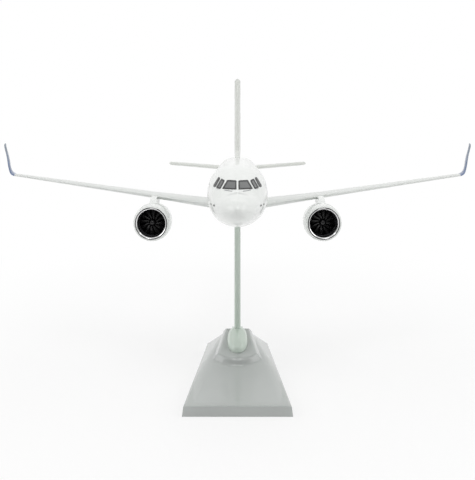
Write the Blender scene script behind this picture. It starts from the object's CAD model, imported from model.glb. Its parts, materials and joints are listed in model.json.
"""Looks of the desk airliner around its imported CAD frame, in metres and in the CAD's own frame.

+X is the aircraft's left, +Y runs from the nose to the tail and +Z is up. Lengths are written in
millimetres and turned into metres by MM, apart from the stage's, which are in metres. The aircraft's
own frame has its origin at the nose station on the fuselage axis. It is pitched nose-up on the arm,
and the left fan's joint says where it lies.
"""

import json
import math

import bmesh
import bpy
from mathutils import Matrix, Vector
from mathutils.bvhtree import BVHTree

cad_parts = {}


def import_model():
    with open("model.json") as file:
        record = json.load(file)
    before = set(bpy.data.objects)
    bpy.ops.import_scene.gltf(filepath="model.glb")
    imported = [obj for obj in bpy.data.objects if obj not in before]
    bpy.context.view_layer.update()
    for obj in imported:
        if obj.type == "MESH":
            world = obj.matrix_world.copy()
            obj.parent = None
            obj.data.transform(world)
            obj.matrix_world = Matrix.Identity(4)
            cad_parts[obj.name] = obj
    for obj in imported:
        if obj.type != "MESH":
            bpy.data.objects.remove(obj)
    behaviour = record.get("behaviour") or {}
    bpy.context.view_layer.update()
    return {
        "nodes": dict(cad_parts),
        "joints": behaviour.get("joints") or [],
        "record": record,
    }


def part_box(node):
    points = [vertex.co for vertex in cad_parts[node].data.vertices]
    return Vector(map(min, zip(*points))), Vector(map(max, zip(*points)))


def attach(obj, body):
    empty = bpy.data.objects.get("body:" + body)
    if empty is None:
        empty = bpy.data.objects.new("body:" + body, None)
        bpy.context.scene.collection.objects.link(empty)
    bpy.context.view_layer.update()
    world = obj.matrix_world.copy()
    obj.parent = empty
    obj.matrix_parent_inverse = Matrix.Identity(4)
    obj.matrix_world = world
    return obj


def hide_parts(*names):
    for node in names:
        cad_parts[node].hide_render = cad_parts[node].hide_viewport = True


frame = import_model()
nodes = frame["nodes"]

MM = 0.001
SIDES = ((1, "left"), (-1, "right"))
PLANE = "airplane"

# ---- frames --------------------------------------------------------------------------------------

ENGINE = Vector((43.2, 103.5, -17.5)) * MM      # left engine's front plane in the aircraft's frame
PITCH = math.radians(8.0)       # the aircraft's, nose up
LEAN = math.radians(12.0)       # the arm's and the boss's, forward


def aircraft_matrix():
    """From the aircraft's frame to the row frame, read off the left fan's joint."""
    joint = next(j for j in frame["joints"] if j["name"] == "left_fan_spin")
    turn = Matrix.Rotation(-PITCH, 4, "X")
    place = Vector(joint["pos_m"]) - turn @ ENGINE
    return Matrix.Translation(place) @ turn


AIRCRAFT = aircraft_matrix()


# ---- materials -----------------------------------------------------------------------------------

COAT_ROUGH = 0.06               # roughness of every clear coat
DRIFT_SCALE = 22.0              # of the slow colour drift
DRIFT_LOW, DRIFT_HIGH = 0.3, 0.7        # noise values at which the drift reaches its two ends
LEAST_ROUGH = 0.02
PEEL_DEPTH = 0.1 * MM           # bump distance at full strength
LIP_SEAM, LIP_BLUR = (7.4 * MM, 8.05 * MM), 0.3 * MM    # dark seam round the inlet's bright lip
LIP_TONE, SEAM_TONE, COWL_TONE = (0.78,) * 3, (0.05,) * 3, (0.83, 0.85, 0.83)


def node_tree(name):
    """A material with its node tree and shader."""
    material = bpy.data.materials.new(name)
    material.use_nodes = True
    tree = material.node_tree
    return material, tree, tree.nodes["Principled BSDF"]


def link(tree, out, into):
    """Joins an output socket to an input socket."""
    tree.links.new(out, into)


def new(tree, kind, **values):
    """A node with its inputs set by name, and its settings where no input has that name."""
    made = tree.nodes.new(kind)
    for key, value in values.items():
        if key in made.inputs:
            made.inputs[key].default_value = value
        else:
            setattr(made, key, value)
    return made


def moulded(name, color, rough=0.25, coat=0.0, metallic=0.0, speckle=0.02, bump=0.02, grain=900.0,
            spread=0.06):
    """Plastic, paint or metal: slight colour drift, uneven gloss and a faint orange-peel bump."""
    material, tree, shader = node_tree(name)
    shader.inputs["Metallic"].default_value = metallic
    shader.inputs["Coat Weight"].default_value = coat
    shader.inputs["Coat Roughness"].default_value = COAT_ROUGH
    where = new(tree, "ShaderNodeTexCoord").outputs["Object"]
    drift = new(tree, "ShaderNodeTexNoise", Scale=DRIFT_SCALE, Detail=3.0)
    fine = new(tree, "ShaderNodeTexNoise", Scale=grain, Detail=2.0)
    for texture in (drift, fine):
        link(tree, where, texture.inputs["Vector"])
    ramp = new(tree, "ShaderNodeValToRGB")
    low, high = ramp.color_ramp.elements
    low.position, high.position = DRIFT_LOW, DRIFT_HIGH
    low.color = [*(max(c * (1 - speckle), 0) for c in color), 1]
    high.color = [*(min(c * (1 + speckle), 1) for c in color), 1]
    link(tree, drift.outputs["Fac"], ramp.inputs["Fac"])
    link(tree, ramp.outputs["Color"], shader.inputs["Base Color"])
    gloss = new(tree, "ShaderNodeMapRange")
    gloss.inputs["To Min"].default_value = max(rough - spread, LEAST_ROUGH)
    gloss.inputs["To Max"].default_value = rough + spread
    link(tree, fine.outputs["Fac"], gloss.inputs["Value"])
    link(tree, gloss.outputs["Result"], shader.inputs["Roughness"])
    peel = new(tree, "ShaderNodeBump", Strength=bump, Distance=PEEL_DEPTH)
    link(tree, fine.outputs["Fac"], peel.inputs["Height"])
    link(tree, peel.outputs["Normal"], shader.inputs["Normal"])
    return material


def winglet_paint():
    """Blue at the bend that turns into a grey blue towards the top."""
    material = moulded("winglet_paint", (0.30, 0.36, 0.45), rough=0.25)
    tree = material.node_tree
    shader = tree.nodes["Principled BSDF"]
    where = new(tree, "ShaderNodeTexCoord")
    split = new(tree, "ShaderNodeSeparateXYZ")
    link(tree, where.outputs["Object"], split.inputs["Vector"])
    low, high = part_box("left_winglet")
    height = new(tree, "ShaderNodeMapRange")
    height.inputs["From Min"].default_value = low[2]
    height.inputs["From Max"].default_value = high[2]
    link(tree, split.outputs["Z"], height.inputs["Value"])
    ramp = new(tree, "ShaderNodeValToRGB")
    first, last = ramp.color_ramp.elements
    first.position, first.color = 0.05, (0.11, 0.17, 0.33, 1)
    last.position, last.color = 0.85, (0.27, 0.31, 0.37, 1)
    link(tree, height.outputs["Result"], ramp.inputs["Fac"])
    link(tree, ramp.outputs["Color"], shader.inputs["Base Color"])
    return material


def lip_paint():
    """Bright metal inlet lip, a dark seam round it and the cowl's gloss white beyond the seam."""
    material = moulded("lip_chrome", (0.78, 0.79, 0.80), rough=0.1, metallic=1.0, spread=0.03)
    tree = material.node_tree
    shader = tree.nodes["Principled BSDF"]
    where = new(tree, "ShaderNodeTexCoord")
    split = new(tree, "ShaderNodeSeparateXYZ")
    link(tree, where.outputs["Object"], split.inputs["Vector"])
    either = new(tree, "ShaderNodeMath", operation="ABSOLUTE")
    link(tree, split.outputs["X"], either.inputs[0])
    place = new(tree, "ShaderNodeCombineXYZ")
    link(tree, either.outputs["Value"], place.inputs["X"])
    link(tree, split.outputs["Y"], place.inputs["Y"])
    link(tree, split.outputs["Z"], place.inputs["Z"])
    off = new(tree, "ShaderNodeVectorMath", operation="SUBTRACT")
    link(tree, place.outputs["Vector"], off.inputs[0])
    off.inputs[1].default_value = AIRCRAFT @ ENGINE
    across = new(tree, "ShaderNodeVectorMath", operation="CROSS_PRODUCT")
    link(tree, off.outputs["Vector"], across.inputs[0])
    across.inputs[1].default_value = AIRCRAFT.to_3x3() @ Vector((0, 1, 0))
    radius = new(tree, "ShaderNodeVectorMath", operation="LENGTH")
    link(tree, across.outputs["Vector"], radius.inputs[0])
    inside, outside = LIP_SEAM
    start, end = inside - 1 * MM, outside + 1 * MM
    share = new(tree, "ShaderNodeMapRange")
    share.inputs["From Min"].default_value = start
    share.inputs["From Max"].default_value = end
    link(tree, radius.outputs["Value"], share.inputs["Value"])
    radii = (inside, inside + LIP_BLUR, outside, outside + LIP_BLUR / 3)
    stops = [(r - start) / (end - start) for r in radii]
    metal, paint = (1,) * 3, (0,) * 3
    for socket, tones in (("Base Color", (LIP_TONE, SEAM_TONE, SEAM_TONE, COWL_TONE)),
                          ("Metallic", (metal, metal, metal, paint))):
        ramp = new(tree, "ShaderNodeValToRGB")
        elements = ramp.color_ramp.elements
        while len(elements) < len(stops):
            elements.new(1.0)
        for element, stop, tone in zip(elements, stops, tones):
            element.position = stop
            element.color = (*tone, 1)
        link(tree, share.outputs["Result"], ramp.inputs["Fac"])
        link(tree, ramp.outputs["Color"], shader.inputs[socket])
    return material


PAINT = {
    "body_white": moulded("gloss_white", (0.84, 0.86, 0.84), rough=0.2, coat=0.3, speckle=0.008,
                          bump=0.006),
    "fairing_grey": moulded("fairing_grey", (0.66, 0.68, 0.66), rough=0.2, coat=0.2),
    "wing_grey": moulded("wing_grey", (0.72, 0.74, 0.72), rough=0.32, bump=0.008),
    "tail_grey": moulded("tail_grey", (0.74, 0.76, 0.72), rough=0.3, coat=0.1, bump=0.005),
    "winglet_blue": winglet_paint(),
    "window_dark": moulded("window_dark", (0.035, 0.038, 0.042), rough=0.12, coat=0.5),
    "inner_plastic": moulded("inner_plastic", (0.55, 0.56, 0.55), rough=0.5),
    "lip_chrome": lip_paint(),
    "engine_dark": moulded("engine_dark", (0.045, 0.045, 0.05), rough=0.45),
    "fan_dark": moulded("fan_dark", (0.006, 0.0055, 0.006), rough=0.28),
    "core_metal": moulded("core_metal", (0.36, 0.35, 0.34), rough=0.34, metallic=0.9),
    "stand_arm_grey": moulded("stand_arm_grey", (0.68, 0.77, 0.69), rough=0.22, coat=0.3),
    "stand_grey": moulded("stand_grey", (0.51, 0.535, 0.52), rough=0.16, coat=0.5),
    "ballast_steel": moulded("ballast_steel", (0.45, 0.45, 0.46), rough=0.4, metallic=1.0),
    "screw_steel": moulded("screw_steel", (0.6, 0.6, 0.6), rough=0.3, metallic=1.0),
    "pad_rubber": moulded("pad_rubber", (0.03, 0.03, 0.03), rough=0.8, bump=0.15, grain=400.0),
}
PRINT_BLACK = moulded("print_black", (0.012, 0.012, 0.013), rough=0.3)
PRINT_GREY = moulded("print_grey", (0.30, 0.31, 0.32), rough=0.35)
GLASS_PRINT = moulded("cabin_glass_print", (0.07, 0.075, 0.085), rough=0.15, coat=0.4)
PANE_GLASS = moulded("pane_glass", (0.125, 0.13, 0.13), rough=0.14, coat=0.3, speckle=0.3)


def paint_nodes():
    """Every CAD node gets the material of its slot."""
    slots = {entry["node"]: entry["material_slot"] for entry in frame["record"]["subparts"]}
    for name, node in nodes.items():
        material = PAINT[slots[name]]
        for slot in node.material_slots:
            slot.material = material
        if not node.material_slots:
            node.data.materials.append(material)
    for slot in nodes["cockpit_windows"].material_slots:
        slot.material = PAINT["body_white"]     # the printed glass and its frames lie over these panes


# ---- mesh helpers --------------------------------------------------------------------------------

def piece(name, points, faces, material, body, smooth=True):
    """A new mesh piece that rides on a body."""
    mesh = bpy.data.meshes.new(name)
    mesh.from_pydata([tuple(p) for p in points], [], faces)
    mesh.validate()
    obj = bpy.data.objects.new(name, mesh)
    bpy.context.scene.collection.objects.link(obj)
    mesh.materials.append(material)
    if smooth:
        mesh.shade_smooth()
    tidy = bmesh.new()
    tidy.from_mesh(mesh)
    bmesh.ops.recalc_face_normals(tidy, faces=tidy.faces)
    tidy.to_mesh(mesh)
    tidy.free()
    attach(obj, body)
    return obj


def grid_faces(rows, columns, closed=False):
    """Quads of a grid of points stored row by row; closed joins the last column to the first."""
    faces = []
    for r in range(rows - 1):
        for c in range(columns if closed else columns - 1):
            k = (c + 1) % columns
            faces.append((r * columns + c, r * columns + k, (r + 1) * columns + k,
                          (r + 1) * columns + c))
    return faces


# ---- stand ---------------------------------------------------------------------------------------

BASE_RIM = 0.2 * MM             # shell's rim above the surface
BASE_EDGE = 6.0 * MM            # height of the straight edge
BASE_DRAFT = math.tan(math.radians(7.0))
BACK_WIDTH = 38.5 * MM          # the base's width at its back
RAMP_RADIUS = 180.0 * MM        # the ramp's hollow, along the base
BOSS_RIM = 15.0 * MM            # sloped top's height at the middle of the base
BOSS_BACK, BOSS_BACK_WIDTH = 30.0 * MM, 14.0 * MM
BOSS_SHOULDER, BOSS_WIDTH, BOSS_BOW = 3.6 * MM, 27.0 * MM, 17.0 * MM
BOSS_STEEP, BOSS_LIFT = 2.4, 0.4 * MM   # the boss's side: rise per length, and rise at its outline
BOSS_REACH = 2.0 * MM           # how far outside its outline the boss still shapes the top
HIP_SOFT, BACK_SOFT, RAMP_SOFT = 6.0 * MM, 3.0 * MM, 1.0 * MM   # how widely the hill's edges are rounded
RIM_SOFT, ROOT_SOFT, SLOPE_SOFT = 4.6 * MM, 1.6 * MM, 0.6 * MM  # the boss's rim, its root and the slope
BOSS_PROUD = 0.02 * MM          # how far above the slope the top is capped
EDGE_ROUND = 0.35 * MM          # rounding of the top's outer edge
EDGE_SHARE = 0.9                # of the edge's lean, just below that rounding
BASE_WALL, ROOM_TOP = 2.4 * MM, 4.0 * MM        # wall, and the inner room's top above the surface
ARM_ROOT = 24.4 * MM            # where the arm meets the slope, behind the base's middle
SLOPE = math.tan(LEAN)


def soft_min(a, b, reach):
    """The smaller of two heights, rounded off where they come within reach of each other."""
    near = max(reach - abs(a - b), 0) / reach
    return min(a, b) - near * near * reach / 4


def soft_max(a, b, reach):
    """The larger of two heights, rounded off in the same way."""
    return -soft_min(-a, -b, reach)


def boss_distance(x, y):
    """How far a point lies inside the boss's outline; less than 0 is outside."""
    side = (BOSS_WIDTH - BOSS_BACK_WIDTH) / 2 / (BOSS_BACK - BOSS_SHOULDER)
    half_width = BOSS_WIDTH / 2 - (y - BOSS_SHOULDER) * side
    across = (half_width - abs(x)) / math.hypot(1, side)
    centre = BOSS_SHOULDER + math.sqrt(BOSS_BOW**2 - (BOSS_WIDTH / 2) ** 2)
    if y > BOSS_SHOULDER:
        return min(across, BOSS_BACK - y)
    return BOSS_BOW - math.hypot(x, y - centre)


def base_height(x, y, half_x, half_y):
    """Height of the base's top: a concave ramp, sloping flanks and the boss, with soft hips."""
    lean = (half_x(-half_y) - half_x(half_y)) / 2 / half_y
    ramp = BASE_EDGE + RAMP_RADIUS - math.sqrt(RAMP_RADIUS**2 - (y + half_y) ** 2)
    flank = BASE_EDGE + (half_x(y) - abs(x)) / math.hypot(1, lean)
    back = BASE_EDGE + (half_y - y)
    slope = BOSS_RIM + y * SLOPE
    hill = soft_min(soft_min(ramp, flank, HIP_SOFT), back, BACK_SOFT)
    hill = soft_min(hill, slope, RAMP_SOFT)
    inside = boss_distance(x, y)
    boss = soft_min(ramp + BOSS_STEEP * inside + BOSS_LIFT, slope, RIM_SOFT)
    if inside > -BOSS_REACH:
        hill = soft_min(soft_max(hill, boss, ROOT_SOFT), slope + BOSS_PROUD, SLOPE_SOFT)
    return max(hill, BASE_EDGE)


def base_shell():
    """The base's top as one soft surface on its drafted edge, hollow below."""
    low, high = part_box("base_shell")
    rows, columns = 150, 110
    lean_in = (BASE_EDGE - BASE_RIM) * BASE_DRAFT
    half_y = high[1] - lean_in

    def outline_half(y, inset):
        share = (y - low[1]) / (high[1] - low[1])
        return high[0] + (BACK_WIDTH / 2 - high[0]) * share - inset

    def half_x(y):
        return outline_half(y, lean_in)

    points = []
    for r in range(rows):
        y = -half_y + 2 * half_y * r / (rows - 1)
        for c in range(columns):
            x = half_x(y) * (2 * c / (columns - 1) - 1)
            edge = min(half_x(y) - abs(x), half_y - abs(y))
            dip = max(EDGE_ROUND - edge, 0)
            points.append((x, y, base_height(x, y, half_x, half_y) - dip * dip / EDGE_ROUND))
    faces = grid_faces(rows, columns)
    top_ring = list(range(columns)) + [r * columns + columns - 1 for r in range(1, rows)]
    top_ring += [(rows - 1) * columns + c for c in range(columns - 2, -1, -1)]
    top_ring += [r * columns for r in range(rows - 2, 0, -1)]
    rings = [top_ring]
    for height, inset in ((BASE_EDGE - 2 * EDGE_ROUND, lean_in * EDGE_SHARE), (BASE_RIM, 0.0),
                          (BASE_RIM, BASE_WALL), (ROOM_TOP, BASE_WALL)):
        ring = []
        for i in top_ring:
            x, y, _ = points[i]
            share_x, share_y = x / half_x(y), y / half_y
            place_y = share_y * (high[1] - inset)
            ring.append(len(points))
            points.append((share_x * outline_half(place_y, inset), place_y, height))
        rings.append(ring)
    for above, below in zip(rings, rings[1:]):
        for i in range(len(above)):
            k = (i + 1) % len(above)
            faces.append((above[i], above[k], below[k], below[i]))
    faces.append(tuple(rings[-1]))
    obj = piece("base_cover_skin", points, faces, PAINT["stand_grey"], "stand")
    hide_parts("base_shell")
    cut_slot(obj)
    sharpen(obj)


FOOT_FRONT, FOOT_BACK = -21.2 * MM, 3.8 * MM    # along the slope, from the arm
FOOT_HALF_WIDTH, FOOT_HEIGHT = 5.95 * MM, 5.7 * MM
FOOT_FULLNESS = 2.3             # power of the foot's outline; 2 would be an ellipse
FOOT_TIP = 0.01                 # share of the foot's size that is left at its two ends
TENON_WIDTH, TENON_LENGTH, TENON_DEPTH = 6.2 * MM, 12.0 * MM, 7.5 * MM
TENON_TOP = 0.5 * MM            # the tenon's top above the slope, most of it inside the foot
SLIP_GAP = 0.12 * MM            # between the tenon and its slot
SLOT_ABOVE = 2.0 * MM           # how far the cutter stands above the slope


def slope_frame():
    """From the arm's root on the base's slope, with Y up the slope, to the row frame."""
    root = Matrix.Translation((0, ARM_ROOT, BOSS_RIM + ARM_ROOT * SLOPE))
    return root @ Matrix.Rotation(LEAN, 4, "X")


def block(place, half_x, half_y, low, high):
    """Corners and faces of a block that stands in the frame of place."""
    outline = ((-half_x, -half_y), (half_x, -half_y), (half_x, half_y), (-half_x, half_y))
    points = [place @ Vector((x, y, z)) for z in (low, high) for x, y in outline]
    sides = [(i, (i + 1) % 4, (i + 1) % 4 + 4, i + 4) for i in range(4)]
    return points, [(3, 2, 1, 0), (4, 5, 6, 7)] + sides


def cut_slot(obj):
    """Cuts the slot for the foot's tenon out of the base."""
    points, faces = block(slope_frame(), TENON_WIDTH / 2 + SLIP_GAP, TENON_LENGTH / 2 + SLIP_GAP,
                          -TENON_DEPTH - SLIP_GAP, SLOT_ABOVE)
    mesh = bpy.data.meshes.new("slot_cutter")
    mesh.from_pydata(points, [], faces)
    cutter = bpy.data.objects.new("slot_cutter", mesh)
    bpy.context.scene.collection.objects.link(cutter)
    cut = obj.modifiers.new("slot", "BOOLEAN")
    cut.operation, cut.solver, cut.object = "DIFFERENCE", "EXACT", cutter
    bpy.context.view_layer.update()
    done = bpy.data.meshes.new_from_object(obj.evaluated_get(bpy.context.evaluated_depsgraph_get()))
    obj.modifiers.remove(cut)
    obj.data = done
    bpy.data.objects.remove(cutter)


def arm_foot():
    """The egg-shaped foot that carries the arm, lying on the base's slope, and its tenon."""
    middle, half = (FOOT_FRONT + FOOT_BACK) / 2, (FOOT_BACK - FOOT_FRONT) / 2
    slope = slope_frame()
    rows, columns, power = 28, 40, 2 / FOOT_FULLNESS
    points = []
    for r in range(rows):
        along = -math.cos(math.pi * r / (rows - 1))
        size = max(max(1 - abs(along) ** FOOT_FULLNESS, 0) ** (1 / FOOT_FULLNESS), FOOT_TIP)
        for c in range(columns + 1):
            turn = math.pi * c / columns
            x = math.copysign(abs(math.cos(turn)) ** power, math.cos(turn)) * FOOT_HALF_WIDTH * size
            z = math.sin(turn) ** power * FOOT_HEIGHT * size if 0 < c < columns else 0.0
            points.append(slope @ Vector((x, middle + along * half, z)))
    faces = grid_faces(rows, columns + 1)
    faces += [(r * (columns + 1), (r + 1) * (columns + 1), (r + 2) * (columns + 1) - 1,
               (r + 1) * (columns + 1) - 1) for r in range(rows - 1)]
    faces.append(tuple(range(columns + 1)))
    faces.append(tuple(reversed(range((rows - 1) * (columns + 1), rows * (columns + 1)))))
    start = len(points)
    tenon, sides = block(slope, TENON_WIDTH / 2, TENON_LENGTH / 2, -TENON_DEPTH, TENON_TOP)
    points += tenon
    faces += [tuple(start + i for i in side) for side in sides]
    obj = piece("arm_foot_skin", points, faces, PAINT["stand_arm_grey"], "arm_assembly")
    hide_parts("arm_foot")
    sharpen(obj, 60)


def sharpen(obj, angle=40):
    """Edges over that many degrees stay crisp in a smooth piece."""
    obj.data.set_sharp_from_angle(angle=math.radians(angle))


# ---- fans ----------------------------------------------------------------------------------------

BLADES = 12
FAN_RADIUS, HUB_RADIUS = 6.15 * MM, 1.9 * MM
FAN_FRONT, FAN_DEPTH, SPINNER = 6.6 * MM, 3.6 * MM, 2.4 * MM
SPINNER_TIP, HUB_BORE = 0.02 * MM, 0.9 * MM     # radii of the spinner's blunt tip and the hub's bore
BLADE_START = 0.85              # where a blade starts, as a share of the hub's radius
BLADE_STAGGER, BLADE_TWIST = 32.0, 30.0         # degrees at the hub, and how many more at the tip
BLADE_CHORD, BLADE_BELLY, BLADE_CAMBER = 3.3 * MM, 0.5 * MM, 0.35 * MM
BLADE_THICK, BLADE_TAPER, BLADE_SWEEP = 0.5 * MM, 0.2 * MM, 0.10


def fan(side, label):
    """Spinner, hub and curved, twisted blades with a rounded leading edge."""
    points, faces = [], []

    def add(rows, columns, place, closed=False):
        start = len(points)
        points.extend(place(r, c) for r in range(rows) for c in range(columns))
        faces.extend(tuple(start + i for i in f) for f in grid_faces(rows, columns, closed))

    around, steps = 40, 9
    profile = [(HUB_RADIUS * math.sin(math.pi / 2 * i / steps),
                FAN_FRONT - SPINNER * math.cos(math.pi / 2 * i / steps)) for i in range(steps + 1)]
    profile[0] = (SPINNER_TIP, profile[0][1])
    profile += [(HUB_RADIUS, FAN_FRONT + FAN_DEPTH), (HUB_BORE, FAN_FRONT + FAN_DEPTH)]

    def hub(r, c):
        radius, y = profile[r]
        turn = 2 * math.pi * c / around
        return Vector((radius * math.cos(turn), y, radius * math.sin(turn)))

    add(len(profile), around, hub, closed=True)
    span, ring = 9, 14
    root = HUB_RADIUS * BLADE_START
    for blade in range(BLADES):
        start = 2 * math.pi * blade / BLADES

        def section(r, c):
            share = r / (span - 1)
            radius = root + (FAN_RADIUS - root) * share
            stagger = math.radians(BLADE_STAGGER + BLADE_TWIST * share)
            chord = BLADE_CHORD + BLADE_BELLY * math.sin(math.pi * share)
            thick = BLADE_THICK - BLADE_TAPER * share
            turn = 2 * math.pi * c / ring
            along = chord / 2 * math.cos(turn)
            camber = BLADE_CAMBER * (1 - (2 * along / chord) ** 2)
            across = thick / 2 * math.sin(turn) + camber
            y = FAN_FRONT + FAN_DEPTH / 2 + along * math.cos(stagger) - across * math.sin(stagger)
            sweep = BLADE_SWEEP * math.sin(math.pi * share)
            sideways = along * math.sin(stagger) + across * math.cos(stagger)
            angle = start + sideways / radius + sweep
            return Vector((radius * math.cos(angle), y, radius * math.sin(angle)))

        first = len(points)
        add(span, ring, section, closed=True)
        last = first + (span - 1) * ring
        faces.append(tuple(range(last, last + ring)))
        faces.append(tuple(reversed(range(first, first + ring))))
    centre = Vector((side * ENGINE.x, ENGINE.y, ENGINE.z))
    placed = [AIRCRAFT @ (centre + p) for p in points]
    obj = piece(f"{label}_fan_wheel", placed, faces, PAINT["fan_dark"], f"{label}_fan_rotor")
    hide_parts(f"{label}_fan")
    sharpen(obj, 50)


# ---- printed details on the body -----------------------------------------------------------------

PROUD = 0.03 * MM               # printed details stand this far off the skin
ASIDE, AHEAD = 40 * MM, -40 * MM        # where the rays that lay details start, clear of the body
GAP_STEP, GAP_DEPTH = 0.13 * MM, 0.06 * MM      # reach across a gap, and the least depth of one


def tree_of(names):
    """A search tree of CAD nodes, for laying details on their surface."""
    points, faces = [], []
    for name in names:
        mesh = nodes[name].data
        start = len(points)
        points += [v.co.copy() for v in mesh.vertices]
        faces += [[start + i for i in p.vertices] for p in mesh.polygons]
    return BVHTree.FromPolygons(points, faces)


BODY_TREE = tree_of(["left_fuselage_half", "right_fuselage_half", "cockpit_windows"])


def laid(place, way):
    """The point of the body that lies from place along way, both in the aircraft's frame."""
    start = AIRCRAFT @ place
    direction = (AIRCRAFT.to_3x3() @ way).normalized()
    hit, normal, _, _ = BODY_TREE.ray_cast(start, direction)
    if hit is None:
        raise ValueError(f"nothing to lay a detail on at {place}")
    if normal.dot(direction) > 0:
        normal = -normal
    return hit + normal * PROUD


def patch(points, faces, width, height, corner, place, around, rings):
    """Adds a rounded rectangle to points and faces; place(u, v) gives each of its points.

    It has around points on each quarter of its outline.
    """
    start = len(points)
    points.append(place(0, 0))
    outline = []
    for i in range(around * 4):
        turn = 2 * math.pi * i / (around * 4)
        c, s = math.cos(turn), math.sin(turn)
        u = math.copysign(abs(c) ** corner, c) * width / 2
        v = math.copysign(abs(s) ** corner, s) * height / 2
        outline.append((u, v))
    for ring in range(1, rings + 1):
        share = ring / rings
        points.extend(place(u * share, v * share) for u, v in outline)
    count = len(outline)
    for i in range(count):
        k = (i + 1) % count
        faces.append((start, start + 1 + i, start + 1 + k))
        for ring in range(rings - 1):
            a = start + 1 + ring * count
            faces.append((a + i, a + k, a + count + k, a + count + i))


def strip(points, faces, path, width, place, closed=False):
    """Adds a narrow line along a path of (u, v) points; place(u, v) gives each of its points."""
    start, count = len(points), len(path)
    for i, (u, v) in enumerate(path):
        before = path[i - 1] if closed or i else path[i]
        after = path[(i + 1) % count] if closed or i < count - 1 else path[i]
        along = Vector((after[0] - before[0], after[1] - before[1])).normalized()
        for way in (-1, 1):
            points.append(place(u - along.y * way * width / 2, v + along.x * way * width / 2))
    for i in range(count if closed else count - 1):
        k = (i + 1) % count
        faces.append((start + 2 * i, start + 2 * k, start + 2 * k + 1, start + 2 * i + 1))


def side_place(side, station, height):
    """Lays (along the body, up) round a point of the body's side."""
    return lambda u, v: laid(Vector((side * ASIDE, station + u, height + v)), Vector((-side, 0, 0)))


def front_place(u, v):
    """Lays (to the left, up) on the nose as seen from the front, across the narrow gaps in it."""
    back = Vector((0, 1, 0))
    here, left, right = (laid(Vector((u + way * GAP_STEP, AHEAD, v)), back) for way in (0, -1, 1))
    middle = (left + right) / 2
    return middle if here.y > middle.y + GAP_DEPTH else here


def rounded_path(width, height, corner, steps=6, longest=0.6 * MM):
    """Points along a rounded rectangle, none further apart than longest."""
    path = []
    for quarter, (sx, sy) in enumerate(((1, 1), (-1, 1), (-1, -1), (1, -1))):
        for i in range(steps + 1):
            turn = math.pi / 2 * (quarter + i / steps)
            path.append((sx * (width / 2 - corner) + corner * math.cos(turn),
                         sy * (height / 2 - corner) + corner * math.sin(turn)))
    close = []
    for (u, v), (next_u, next_v) in zip(path, path[1:] + path[:1]):
        count = max(math.ceil(math.hypot(next_u - u, next_v - v) / longest), 1)
        close += [(u + (next_u - u) * i / count, v + (next_v - v) * i / count)
                  for i in range(count)]
    return close


WINDOW_PITCH, WINDOW_FIRST, WINDOW_LAST = 3.39 * MM, 47 * MM, 247 * MM   # stations along the body
WINDOW_ROW = 1.9 * MM           # height of the windows above the body's axis
WINDOW_SIZE, DOOR_WINDOW_SIZE = (1.6 * MM, 2.3 * MM), (1.1 * MM, 1.5 * MM)
WINDOW_CORNER = 0.62            # power of a window's outline; 1 would be an ellipse
DOORS = tuple(                  # station, width and height of each door
    (station * MM, width * MM, height * MM)
    for station, width, height in ((36, 5.6, 12.0), (80, 5.2, 11.6), (193, 4.6, 10.0), (254, 5.2, 11.6))
)
DOOR_CLEAR, DOOR_CORNER, DOOR_LINE = 1.2 * MM, 1.1 * MM, 0.22 * MM
DOOR_HEAD = 3.6 * MM            # a door's top edge above its window's middle


def cabin_details(side, label):
    """Cabin windows, and the outlines of the doors and their small windows."""
    points, faces = [], []
    for i in range(int((WINDOW_LAST - WINDOW_FIRST) / WINDOW_PITCH)):
        station = WINDOW_FIRST + i * WINDOW_PITCH
        if all(abs(station - door) > width / 2 + DOOR_CLEAR for door, width, _ in DOORS):
            patch(points, faces, *WINDOW_SIZE, WINDOW_CORNER, side_place(side, station, WINDOW_ROW),
                  around=4, rings=1)
    for door, _, _ in DOORS:
        patch(points, faces, *DOOR_WINDOW_SIZE, WINDOW_CORNER, side_place(side, door, WINDOW_ROW),
              around=4, rings=1)
    piece(f"{label}_cabin_windows", points, faces, GLASS_PRINT, PLANE)
    points, faces = [], []
    for door, width, height in DOORS:
        strip(points, faces, rounded_path(width, height, DOOR_CORNER), DOOR_LINE,
              side_place(side, door, WINDOW_ROW - height / 2 + DOOR_HEAD), closed=True)
    piece(f"{label}_door_lines", points, faces, PRINT_GREY, PLANE)


PANES = (                       # corners as seen from the front, millimetres (outwards, up) from the axis
    ((0.36, 4.43), (6.0, 4.6), (4.1, 7.8), (0.38, 7.6)),
    ((6.8, 4.4), (8.45, 4.68), (6.38, 8.2), (5.05, 7.68)),
    ((8.95, 4.85), (9.75, 5.1), (7.45, 8.8), (6.95, 8.45)),
)
PANE_FRAME = 0.46 * MM
FRAME_INSET = 0.7 * PANE_FRAME  # how far a frame's corners lie inside the pane's
FRAME_LIFT = Vector((0, -PROUD, 2 * PROUD))     # a frame stands off the glass
WIPER = ((2.05, 3.8), (3.6, 3.95), (5.15, 4.2))         # millimetres (outwards, up) from the axis
WIPER_WIDTH = 0.28 * MM
PORTS = ((10.4, -1.6, 0.6), (9.1, -1.7, 0.75))  # millimetres outwards and up from the axis, and width
PORT_HEIGHT = 0.75 * MM


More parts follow.
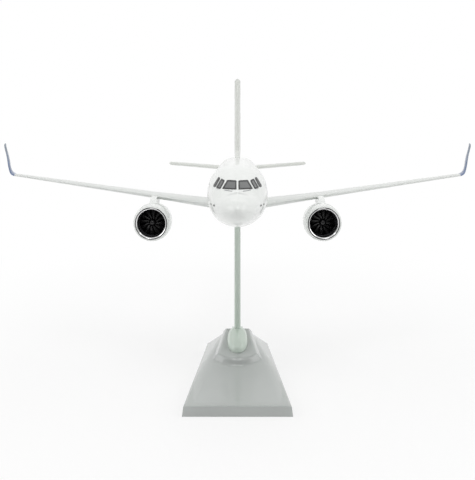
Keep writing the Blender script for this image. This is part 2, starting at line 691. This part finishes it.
def cockpit():
    """Dark glass panes with near-black frames, laid over the windscreen and the side windows."""
    glass, glass_faces, frames, frame_faces = [], [], [], []
    steps = 10
    for side, _ in SIDES:
        for pane in PANES:
            corners = [Vector((side * x, z)) * MM for x, z in pane]

            def spot(i, j):
                low = corners[0].lerp(corners[1], i / steps)
                high = corners[3].lerp(corners[2], i / steps)
                return low.lerp(high, j / steps)

            start = len(glass)
            glass += [front_place(*spot(i, j)) for j in range(steps + 1) for i in range(steps + 1)]
            glass_faces += [tuple(start + i for i in f) for f in grid_faces(steps + 1, steps + 1)]
            middle = sum(corners, Vector((0, 0))) / 4
            inner = [c + (middle - c).normalized() * FRAME_INSET for c in corners]
            for first, last in ((0, 1), (1, 2), (2, 3), (3, 0)):
                a, b = inner[first], inner[last]
                path = [tuple(a.lerp(b, i / steps)) for i in range(steps + 1)]
                strip(frames, frame_faces, path, PANE_FRAME, frame_place)
    piece("cockpit_glass", glass, glass_faces, PANE_GLASS, PLANE)
    piece("cockpit_frames", frames, frame_faces, PRINT_BLACK, PLANE)


def frame_place(u, v):
    """A frame lies on the glass."""
    return front_place(u, v) + AIRCRAFT.to_3x3() @ FRAME_LIFT


def wipers():
    """The two thin wipers below the front panes."""
    points, faces = [], []
    for side, _ in SIDES:
        path = [(side * x * MM, z * MM) for x, z in WIPER]
        strip(points, faces, path, WIPER_WIDTH, front_place)
    piece("wipers", points, faces, PRINT_GREY, PLANE)


def sensors():
    """Small dark ports on the sides of the nose."""
    points, faces = [], []
    for side, _ in SIDES:
        for u, v, width in PORTS:
            centre = (side * u * MM, v * MM)
            patch(points, faces, width * MM, PORT_HEIGHT, 1.0,
                  lambda a, b, c=centre: front_place(c[0] + a, c[1] + b), around=4, rings=2)
    piece("sensor_ports", points, faces, PRINT_BLACK, PLANE)


# ---- stage ---------------------------------------------------------------------------------------

CAMERA = Vector((0, -0.426, 0.1966))
CAMERA_DROP = 14.8              # degrees that the camera looks down
CAMERA_LENS, CAMERA_SENSOR = 60.1, 36.0         # millimetres
DARK_INSIDE, DARK_OUTSIDE = 15.0, 58.0          # dark room behind the camera, degrees from its direction
DARK_LEVEL = 0.05               # what is left of the light inside the dark room
LOW_LIGHT, HIGH_LIGHT = 0.36, 0.84      # the world's diffuse light at the horizon and overhead
FLOOR_TONE, FLOOR_HALF = 0.95, 6.0
FADE_START, FADE_END = 0.06, 0.32       # distances over which the floor runs out into plain white
FADE_NEAR = 0.72                # how much of that white it has nearer by
LAMPS = (                       # name, place, size in metres and power in watts
    ("left_box", (-1.35, -0.35, 0.95), 1.0, 4.5),
    ("right_box", (1.35, -0.35, 0.95), 1.0, 4.5),
    ("top", (0, -0.55, 1.05), 0.45, 3.0),
)
LAMP_TARGET = (0, 0, 0.1)


def seen(tree):
    """1 for rays from the camera, from gloss and from glass; and the node that says which ray it is."""
    path = new(tree, "ShaderNodeLightPath")
    both = new(tree, "ShaderNodeMath", operation="MAXIMUM")
    link(tree, path.outputs["Is Camera Ray"], both.inputs[0])
    link(tree, path.outputs["Is Glossy Ray"], both.inputs[1])
    every = new(tree, "ShaderNodeMath", operation="MAXIMUM")
    link(tree, both.outputs["Value"], every.inputs[0])
    link(tree, path.outputs["Is Transmission Ray"], every.inputs[1])
    return every.outputs["Value"], path


def ranged(tree, value, from_min, from_max, to_min, to_max, smooth=True):
    """A value carried from one range to another, without going past its ends."""
    node = new(tree, "ShaderNodeMapRange")
    node.interpolation_type = "SMOOTHSTEP" if smooth else "LINEAR"
    for key, number in (("From Min", from_min), ("From Max", from_max), ("To Min", to_min),
                        ("To Max", to_max)):
        node.inputs[key].default_value = number
    link(tree, value, node.inputs["Value"])
    return node.outputs["Result"]


def stage():
    """A pale floor that keeps the object's shadow and runs out into plain white."""
    material, tree, shader = node_tree("pale_floor")
    shader.inputs["Base Color"].default_value = (FLOOR_TONE, FLOOR_TONE, FLOOR_TONE, 1)
    shader.inputs["Roughness"].default_value = 0.9
    shader.inputs["Specular IOR Level"].default_value = 0.0
    white = new(tree, "ShaderNodeEmission")
    where = new(tree, "ShaderNodeTexCoord")
    far = new(tree, "ShaderNodeVectorMath", operation="LENGTH")
    link(tree, where.outputs["Object"], far.inputs[0])
    share = ranged(tree, far.outputs["Value"], FADE_START, FADE_END, FADE_NEAR, 1.0)
    fac = new(tree, "ShaderNodeMath", operation="MULTIPLY")
    link(tree, share, fac.inputs[0])
    link(tree, seen(tree)[0], fac.inputs[1])
    mix = new(tree, "ShaderNodeMixShader")
    link(tree, fac.outputs["Value"], mix.inputs["Fac"])
    link(tree, shader.outputs["BSDF"], mix.inputs[1])
    link(tree, white.outputs["Emission"], mix.inputs[2])
    link(tree, mix.outputs["Shader"], tree.nodes["Material Output"].inputs["Surface"])
    half = FLOOR_HALF
    corners = [(-half, -half, 0), (half, -half, 0), (half, half, 0), (-half, half, 0)]
    mesh = bpy.data.meshes.new("backdrop")
    mesh.from_pydata(corners, [], [(0, 1, 2, 3)])
    mesh.materials.append(material)
    floor = bpy.data.objects.new("backdrop", mesh)
    bpy.context.scene.collection.objects.link(floor)


def lamp(name, place, size, power):
    """A square soft box that faces the object."""
    data = bpy.data.lights.new(name, "AREA")
    data.size = size
    data.energy = power
    obj = bpy.data.objects.new(name, data)
    obj.location = place
    way = Vector(LAMP_TARGET) - Vector(place)
    obj.rotation_euler = way.to_track_quat("-Z", "Y").to_euler()
    bpy.context.scene.collection.objects.link(obj)


def world():
    """Soft light, more from above, with a dark room behind the camera, which sees plain white."""
    made = bpy.data.worlds.new("studio")
    made.use_nodes = True
    bpy.context.scene.world = made
    tree = made.node_tree
    where = new(tree, "ShaderNodeTexCoord")
    split = new(tree, "ShaderNodeSeparateXYZ")
    link(tree, where.outputs["Generated"], split.inputs["Vector"])
    back = tree.nodes["Background"]
    back.inputs["Color"].default_value = (1, 1, 1, 1)
    above = ranged(tree, split.outputs["Z"], 0.0, 1.0, LOW_LIGHT, HIGH_LIGHT, smooth=False)
    drop = math.radians(CAMERA_DROP)
    dot = new(tree, "ShaderNodeVectorMath", operation="DOT_PRODUCT")
    dot.inputs[1].default_value = (0, -math.cos(drop), math.sin(drop))
    link(tree, where.outputs["Generated"], dot.inputs[0])
    room = ranged(tree, dot.outputs["Value"], math.cos(math.radians(DARK_OUTSIDE)),
                  math.cos(math.radians(DARK_INSIDE)), 1.0, DARK_LEVEL)
    level = new(tree, "ShaderNodeMath", operation="MULTIPLY")
    link(tree, above, level.inputs[0])
    link(tree, room, level.inputs[1])
    link(tree, level.outputs["Value"], back.inputs["Strength"])
    fac, path = seen(tree)
    bright = new(tree, "ShaderNodeMath", operation="MAXIMUM")
    link(tree, room, bright.inputs[0])
    link(tree, path.outputs["Is Camera Ray"], bright.inputs[1])
    white = new(tree, "ShaderNodeBackground")
    white.inputs["Color"].default_value = (1, 1, 1, 1)
    link(tree, bright.outputs["Value"], white.inputs["Strength"])
    mix = new(tree, "ShaderNodeMixShader")
    link(tree, fac, mix.inputs["Fac"])
    link(tree, back.outputs["Background"], mix.inputs[1])
    link(tree, white.outputs["Background"], mix.inputs[2])
    link(tree, mix.outputs["Shader"], tree.nodes["World Output"].inputs["Surface"])


def lights():
    """The lamps and the world."""
    for values in LAMPS:
        lamp(*values)
    world()


def camera():
    """The camera in front of the nose, looking a little down."""
    data = bpy.data.cameras.new("camera")
    data.lens = CAMERA_LENS
    data.sensor_width = CAMERA_SENSOR
    data.clip_start = 0.01
    obj = bpy.data.objects.new("camera", data)
    obj.location = CAMERA
    obj.rotation_euler = (math.radians(90 - CAMERA_DROP), 0, 0)
    bpy.context.scene.collection.objects.link(obj)
    bpy.context.scene.camera = obj


paint_nodes()
base_shell()
arm_foot()
for side, label in SIDES:
    fan(side, label)
    cabin_details(side, label)
cockpit()
wipers()
sensors()
stage()
lights()
camera()
bpy.context.scene.view_settings.view_transform = "Standard"
